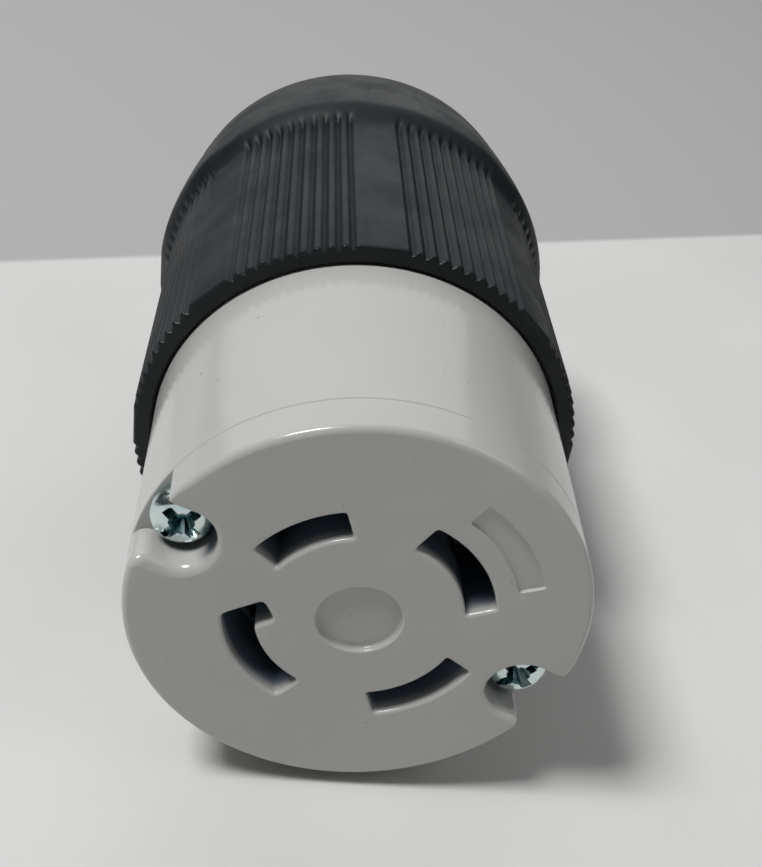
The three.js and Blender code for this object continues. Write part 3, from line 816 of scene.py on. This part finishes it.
def pan_screw(head, length, thread, turn_drive=0.0):
    """Pan-head screw along the axis with its head's seat at 0 and a recess for a cross and a flat driver."""
    head_radius, head_height = head
    profile = [(0, -head_height)]
    for a in np.radians(np.linspace(90, 12, 9))[1:]:
        bulge, rise = math.cos(a) ** 0.55, math.sin(a) ** 0.9
        profile.append((head_radius * bulge, -head_height * (0.36 + 0.64 * rise)))
    profile += [(head_radius, -0.3), (head_radius - 0.12, -0.08), (head_radius - 0.25, 0), (SHANK, 0)]
    step = THREAD_PITCH / 7
    for station in np.arange(step, length - SHANK * 0.5, step):
        profile.append((SHANK, station))
    profile += [(SHANK * 0.62, length - 0.1), (SHANK * 0.45, length), (0, length)]
    screw = lathe(profile, 56, thread)
    reach = head_radius * DRIVE_SHARE
    arm = reach * 0.26
    depth = head_height * 0.86
    tools = []
    for angle, share in ((0, 1.0), (90, 1.0), (45, 0.58), (135, 0.58)):
        wing = Solid()
        top = rectangle((-reach * share, -arm * share), (reach * share, arm * share))
        first = wing.ring(top, -head_height - 0.5)
        mouth = wing.ring(top, -head_height)
        low = wing.ring(top * (0.42, 0.62), -head_height + depth)
        wing.wall(first, mouth)
        wing.wall(mouth, low)
        wing.fill(first)
        wing.fill(low)
        tools.append(turned(mesh_of(wing.vertices, wing.faces), angle + turn_drive))
    slit_end, slit_half = head_radius * 0.8, arm * 0.6
    slit = block((-slit_end, -head_height - 0.5, -slit_half), (slit_end, -head_height + 0.95, slit_half))
    tools.append(turned(slit, turn_drive))
    return cut(screw, *tools)


def long_thread(length):
    """From, to and depth of a thread that starts at a screw's end."""
    return (length - THREAD_LENGTH, length + 1, THREAD_DEPTH)


def make_assembly_screw(angle, turn_drive):
    length = station_of(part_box("assembly_screw_left")[1].y) - PLATE_THICKNESS
    screw = pan_screw(ASSEMBLY_HEAD, length, long_thread(length), turn_drive)
    return turned(shifted(screw, SCREW_CIRCLE, PLATE_THICKNESS), angle)


def make_insert(angle):
    """Threaded bush with a flange in front and grip grooves round it."""
    low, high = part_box("thread_insert_left")
    front, rear = station_of(low.y), station_of(high.y)
    bore, flange, outer, groove = SHANK + GAP, 4.0, 3.2, 2.95
    profile = [(bore + 0.25, front), (flange - 0.15, front), (flange, front + 0.15)]
    profile += [(flange, front + 0.8), (outer, front + 0.8)]
    for k in range(4):
        at = front + 1.4 + 1.8 * k
        profile += [(outer, at), (groove, at + 0.3), (groove, at + 0.9), (outer, at + 1.2)]
    profile += [(outer, rear - 0.3), (groove, rear), (bore + 0.25, rear)]
    profile += [(bore, rear - 0.25), (bore, front + 0.25)]
    return turned(shifted(lathe(profile, 48), SCREW_CIRCLE), angle)


def make_terminal_screw(pole):
    thread = (0.5, TERMINAL_LENGTH + 0.4, TERMINAL_THREAD_DEPTH)
    screw = radial(pan_screw(TERMINAL_HEAD, TERMINAL_LENGTH, thread))
    screw = moved(screw, Matrix.Rotation(math.pi, 4, "Z"))
    return turned(shifted(screw, PLATE_OUTER, TERMINAL_STATION), tab_angle(pole))


def make_divider():
    rear = TAB_END
    hub = lathe([(0, BODY_REAR), (HUB_RADIUS, BODY_REAR), (HUB_RADIUS, rear - HUB_BEVEL),
                 (HUB_RADIUS - HUB_BEVEL, rear), (0, rear)], 64)
    angles = sorted(tab_angle(pole) for pole in POLES)
    walls = []
    for angle, following in zip(angles, [*angles[1:], angles[0] + 360]):
        wall = block((0, BODY_REAR, -DIVIDER_HALF), (DIVIDER_REACH, rear, DIVIDER_HALF))
        walls.append(turned(wall, (angle + following) / 2))
    return join(hub, *walls)


def rib_cut(angles):
    """Share of the grooves' depth at each angle, and how much a flat panel lowers the radius there."""
    local = (angles + SECTOR / 2) % SECTOR - SECTOR / 2
    place = ((angles % SECTOR) - PANEL_WIDTH / 2) / RIB_PITCH
    from_floor = np.abs((place % 1) - 0.5) * 2
    share = np.where(from_floor < GROOVE_SHARE, 0.5 + 0.5 * np.cos(math.pi * from_floor / GROOVE_SHARE), 0)
    flat = np.abs(local) < PANEL_WIDTH / 2
    chord = math.cos(math.radians(PANEL_WIDTH / 2)) / np.cos(np.radians(local))
    return np.where(flat, 0, share), np.where(flat, chord, 1.0)


def housing_profile():
    """(station, radius, depth of the grooves) along the housing, from its front edge to its rear end."""
    profile = [(EXPOSED, RIB_RADIUS - RIB_BEVEL, RIB_DEPTH - 0.15)]
    profile += [(EXPOSED + 0.1, RIB_RADIUS - 0.15, RIB_DEPTH), (EXPOSED + RIB_BEVEL, RIB_RADIUS, RIB_DEPTH)]
    profile += [(s, RIB_RADIUS, RIB_DEPTH) for s in np.linspace(EXPOSED + 4, RIB_END - 0.6, 12)]
    for along in np.linspace(0, 1, 19):
        rise = (1 - math.cos(math.pi * along)) / 2
        depth = RIB_DEPTH * smooth(1 - along * FLARE / RIB_FADE)
        profile.append((RIB_END + FLARE * along, RIB_RADIUS + (FLANGE_RADIUS - RIB_RADIUS) * rise, depth))
    taper = TOTAL - EDGE - FLANGE_STATION
    for along in np.linspace(0, 1, 25)[1:]:
        radius = FLANGE_RADIUS - (FLANGE_RADIUS - END_RADIUS) * along ** 1.3
        profile.append((FLANGE_STATION + taper * along, radius, 0))
    for a in np.radians((22, 45, 67, 90)):
        profile.append((TOTAL - EDGE * (1 - math.sin(a)), END_RADIUS - EDGE * (1 - math.cos(a)), 0))
    return profile


def make_housing_shell():
    panel_points, pitch_points = 6, 10
    angles = []
    for k in range(PANELS):
        panel = np.linspace(-PANEL_WIDTH / 2, PANEL_WIDTH / 2, panel_points + 1)[:-1]
        ribs = np.arange(0, (RIBS + 1) * pitch_points) * RIB_PITCH / pitch_points
        angles += [*(k * SECTOR + panel), *(k * SECTOR + PANEL_WIDTH / 2 + ribs)]
    angles = np.array(angles)
    share, flat = rib_cut(angles)
    unit = np.column_stack((np.cos(np.radians(angles)), np.sin(np.radians(angles))))
    solid = Solid()
    rings = []
    for station, radius, depth in housing_profile():
        roundness = smooth((station - FLANGE_STATION) / COLLAR_BLEND)
        reach = radius * (flat + (1 - flat) * roundness) - depth * share
        rings.append(solid.ring(unit * reach[:, None], station))
    for one, other in zip(rings, rings[1:]):
        solid.wall(one, other)
    solid.fill(rings[0])
    solid.fill(rings[-1])
    return mesh_of(solid.vertices, solid.faces)


def cross_bore(radius, start, end, height):
    """Tool for a bore across the clamp, at a height over the axis."""
    return shifted(radial(rod(radius, start, end, 56)), 0, CLAMP_STATION, height)


def make_housing():
    shell = make_housing_shell()
    rabbet = BODY_REAR_RADIUS + GAP
    room = [
        (0, EXPOSED - 1),
        (rabbet + 1.3, EXPOSED - 1),
        (rabbet, EXPOSED + 0.3),
        (rabbet, SHOULDER),
        (BORE, SHOULDER),
        (BORE, END_WALL),
        (GROMMET_OPENING, END_WALL),
        (GROMMET_OPENING, POCKET_FRONT + 1),
        (0, POCKET_FRONT + 1),
    ]
    pocket_outline = soften(rectangle((-POCKET[0], -POCKET[1]), POCKET), POCKET_CORNER)
    tools = [lathe(room, 144), prism(pocket_outline, POCKET_FRONT, TOTAL + 1)]
    insert_low, insert_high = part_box("thread_insert_left")
    boss_front, boss_rear = station_of(insert_low.y) + 0.8, station_of(insert_high.y) + 3.1
    bosses, holes = [], []
    for angle in SCREW_ANGLES.values():
        outline = np.vstack((
            arc(NOTCH_HALF_WIDTH, 90, 270, (SCREW_CIRCLE, 0)),
            ((BORE + 1, -NOTCH_HALF_WIDTH), (BORE + 1, NOTCH_HALF_WIDTH)),
        ))
        bosses.append(turned(prism(resample(outline), boss_front, boss_rear), angle))
        seat = rod(INSERT_SEAT, boss_front - 1, boss_rear + 1)
        passage = rod(SCREW_PASSAGE, SHOULDER + 1, boss_front)
        holes += [turned(shifted(tool, SCREW_CIRCLE), angle) for tool in (seat, passage)]
    for height in (CLAMP_OFFSET, -CLAMP_OFFSET):
        holes.append(cross_bore(SHANK + GAP, -CLAMP_SEAT - 1, -POCKET[0] + 1, height))
        holes.append(cross_bore(HEAD_PASSAGE, -FLANGE_RADIUS, -CLAMP_SEAT, height))
    return cut(join(cut(shell, *tools), *bosses), *holes)


def make_grommet():
    low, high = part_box("cord_grommet")
    front, rear = station_of(low.y), station_of(high.y)
    e = 0.5
    profile = [
        (CORD_HOLE + e, front),
        (GROMMET_RADIUS - e, front),
        (GROMMET_RADIUS - 0.15 * e, front + 0.15 * e),
        (GROMMET_RADIUS, front + e),
        (GROMMET_RADIUS, END_WALL - e),
        (GROMMET_RADIUS - e, END_WALL),
        (GROMMET_NECK, END_WALL),
        (GROMMET_NECK, rear - e),
        (GROMMET_NECK - e, rear),
        (CORD_HOLE + 2.2, rear),
        (CORD_HOLE + 0.8, rear - 0.35),
        (CORD_HOLE, rear - 1.2),
        (CORD_HOLE, front + e),
        (CORD_HOLE + 0.15 * e, front + 0.15 * e),
    ]
    return lathe(profile)


def ridged_bore():
    """Tool for the cord's hole through the jaws, with ridges that grip the cord."""
    land = (JAW_REAR - JAW_FRONT) / (2 * CORD_RIDGES + 1)
    profile = [(0, JAW_FRONT - 1), (CORD_HOLE + CORD_RIDGE_HEIGHT, JAW_FRONT - 1)]
    for station in np.arange(JAW_FRONT, JAW_REAR + 0.01, land / 6):
        wave = 0.5 + 0.5 * math.cos(math.pi * (station - JAW_FRONT) / land)
        rise = min(1, max(0, 1.4 * wave - 0.2))
        profile.append((CORD_HOLE + CORD_RIDGE_HEIGHT * rise, station))
    profile += [(CORD_HOLE + CORD_RIDGE_HEIGHT, JAW_REAR + 1), (0, JAW_REAR + 1)]
    return lathe(profile)


def make_jaw(side):
    """One half of the clamp, at -X or +X. The one at +X has the nuts' pockets."""
    low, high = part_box("clamp_jaw_fixed" if side < 0 else "clamp_jaw_moving")
    half = POCKET[1] - GAP
    outline = soften(rectangle((low.x / MM, -half), (high.x / MM, half)), POCKET_CORNER)
    tools = [ridged_bore()]
    for height in (CLAMP_OFFSET, -CLAMP_OFFSET):
        tools.append(cross_bore(SHANK + GAP, -POCKET[0] - 1, POCKET[0] + 1, height))
        if side > 0:
            room = NUT_WIDTH / 2 + GAP
            tools.append(block((NUT_SEAT, CLAMP_STATION - room, height - room),
                               (POCKET[0] + 1, CLAMP_STATION + room, height + room)))
    return cut(prism(outline, JAW_FRONT, JAW_REAR, 0.35), *tools)


def make_clamp_nut(height):
    half = NUT_WIDTH / 2
    low = (NUT_SEAT, CLAMP_STATION - half, height - half)
    nut = block(low, (NUT_SEAT + NUT_THICKNESS, CLAMP_STATION + half, height + half))
    return cut(nut, cross_bore(SHANK + GAP, NUT_SEAT - 1, NUT_SEAT + NUT_THICKNESS + 1, height))


def make_clamp_screw(height):
    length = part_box("clamp_screw_upper")[1].x / MM + CLAMP_SEAT
    screw = pan_screw(CLAMP_HEAD, length, long_thread(length), 30)
    return shifted(radial(screw), -CLAMP_SEAT, CLAMP_STATION, height)


add_piece("face_plate", make_face_plate(), "grey_nylon")
add_piece("front_body", make_front_body(), "grey_nylon")
add_piece("rear_housing", make_housing(), "black_nylon")
for pole in POLES:
    add_piece(f"contact_{pole}", make_contact(pole), "brass", 0.1)
    add_piece(f"pressure_plate_{pole}", make_pressure_plate(pole), "zinc_steel", 0.12)
    finish = "ground_screw" if pole == "ground" else "brass"
    add_piece(f"terminal_screw_{pole}", make_terminal_screw(pole), finish, 0.05, 40)
for side, angle in SCREW_ANGLES.items():
    turn_drive = DRIVE_ANGLES[side] - angle
    add_piece(f"assembly_screw_{side}", make_assembly_screw(angle, turn_drive), "zinc_steel", 0.06, 40)
    add_piece(f"thread_insert_{side}", make_insert(angle), "brass")
add_piece("wire_divider", make_divider(), "inner_plastic", 0.15)
add_piece("cord_grommet", make_grommet(), "rubber")
add_piece("clamp_jaw_fixed", make_jaw(-1), "clamp_nylon", 0.12)
add_piece("clamp_jaw_moving", make_jaw(1), "clamp_nylon", 0.12)
for name, height in (("upper", CLAMP_OFFSET), ("lower", -CLAMP_OFFSET)):
    add_piece(f"clamp_nut_{name}", make_clamp_nut(height), "zinc_steel", 0.2)
    add_piece(f"clamp_screw_{name}", make_clamp_screw(height), "zinc_steel", 0.06, 40)

# ---- Floor and light --------------------------------------------------------------------------------------

FLOOR_COLOUR = (0.66, 0.66, 0.65)
BACK_COLOUR = (0.41, 0.412, 0.415)
BACK_DISTANCE = 0.1066  # to the line where the table ends and the wall's colour begins
BACK_BLUR = 0.0015
BACK_YAW = math.radians(18.2)
FLOOR_HALF = 4.0
# The connector lies on its flange and on the front edge of its ribs, so the table leans a little
FLOOR_RISE = (FLANGE_RADIUS - RIB_RADIUS) * math.cos(math.radians(PANEL_WIDTH / 2))


def make_floor():
    slope = FLOOR_RISE / (FLANGE_STATION - EXPOSED)
    touch = MATING_Y + FLANGE_STATION * MM
    corners = [(x * FLOOR_HALF, y * FLOOR_HALF) for x, y in ((-1, -1), (1, -1), (1, 1), (-1, 1))]
    mesh = bpy.data.meshes.new("floor")
    mesh.from_pydata([(x, y, (touch - y) * slope) for x, y in corners], [], [(0, 1, 2, 3)])
    finish = Finish("floor", FLOOR_COLOUR, 0.6)
    turn_back = finish.add("ShaderNodeMapping", vector_type="TEXTURE")
    turn_back.inputs["Rotation"].default_value = (0, 0, BACK_YAW)
    finish.link(finish.place, turn_back.inputs["Vector"])
    split = finish.add("ShaderNodeSeparateXYZ")
    finish.link(turn_back.outputs["Vector"], split.inputs[0])
    step = finish.ramp(split.outputs["Y"], BACK_DISTANCE - BACK_BLUR, BACK_DISTANCE + BACK_BLUR)
    clouds = finish.ramp(finish.noise(18, 4), 0.3, 0.7)
    near = finish.mix(clouds, shade(FLOOR_COLOUR, 0.97), shade(FLOOR_COLOUR, 1.02))
    finish.set("Base Color", finish.mix(step, near, BACK_COLOUR))
    floor = bpy.data.objects.new("floor", mesh)
    mesh.materials.append(finish.material)
    bpy.context.scene.collection.objects.link(floor)


LAMP_DISTANCE = 1.6
SKY_COLOUR = (0.95, 0.98, 1.0)
SKY_LEVEL = 0.04


def add_light(name, direction, size, level):
    """Soft square lamp whose light gives the level on a surface that faces it."""
    lamp = bpy.data.lights.new(name, "AREA")
    lamp.shape = "SQUARE"
    lamp.size = size
    lamp.energy = level * math.pi ** 2 * LAMP_DISTANCE ** 2
    target = Vector((0, 0, AXIS_HEIGHT))
    light = bpy.data.objects.new(name, lamp)
    light.location = target + Vector(direction).normalized() * LAMP_DISTANCE
    light.visible_camera = False
    light.rotation_euler = (target - light.location).to_track_quat("-Z", "Y").to_euler()
    bpy.context.scene.collection.objects.link(light)


make_floor()
add_light("key", (-0.48, -0.15, 1.0), 0.4, 0.88)
add_light("right", (0.9, -0.3, 0.9), 0.9, 0.13)
add_light("back", (-0.1, 1.0, 0.75), 2.2, 0.4)

world = bpy.data.worlds.new("world")
world.use_nodes = True
sky = world.node_tree.nodes["Background"]
sky.inputs["Color"].default_value = (*SKY_COLOUR, 1)
sky.inputs["Strength"].default_value = SKY_LEVEL
bpy.context.scene.world = world

# ---- Camera -----------------------------------------------------------------------------------------------

CAMERA_PLACE = (-13.426, -100.053, 96.136)  # x, station and height over the axis, in millimetres
AZIMUTH = math.radians(7.097)
ELEVATION = math.radians(34.713)
ROLL = math.radians(9.13)
LENS = 49.97
SENSOR = 36

level_x, level_y = math.sin(AZIMUTH), math.cos(AZIMUTH)
view = Vector((level_x * math.cos(ELEVATION), level_y * math.cos(ELEVATION), -math.sin(ELEVATION)))
level = view.cross(Vector((0, 0, 1))).normalized()
rise = level.cross(view)
right = level * math.cos(ROLL) + rise * math.sin(ROLL)
up = right.cross(view)
camera = bpy.data.objects.new("camera", bpy.data.cameras.new("camera"))
camera.data.lens = LENS
camera.data.sensor_width = SENSOR
camera.data.clip_start = 0.01
place = Vector((CAMERA_PLACE[0] * MM, MATING_Y + CAMERA_PLACE[1] * MM, AXIS_HEIGHT + CAMERA_PLACE[2] * MM))
camera.matrix_world = Matrix.Translation(place) @ Matrix((right, up, -view)).transposed().to_4x4()
bpy.context.scene.collection.objects.link(camera)
bpy.context.scene.camera = camera
bpy.context.scene.view_settings.view_transform = "Standard"
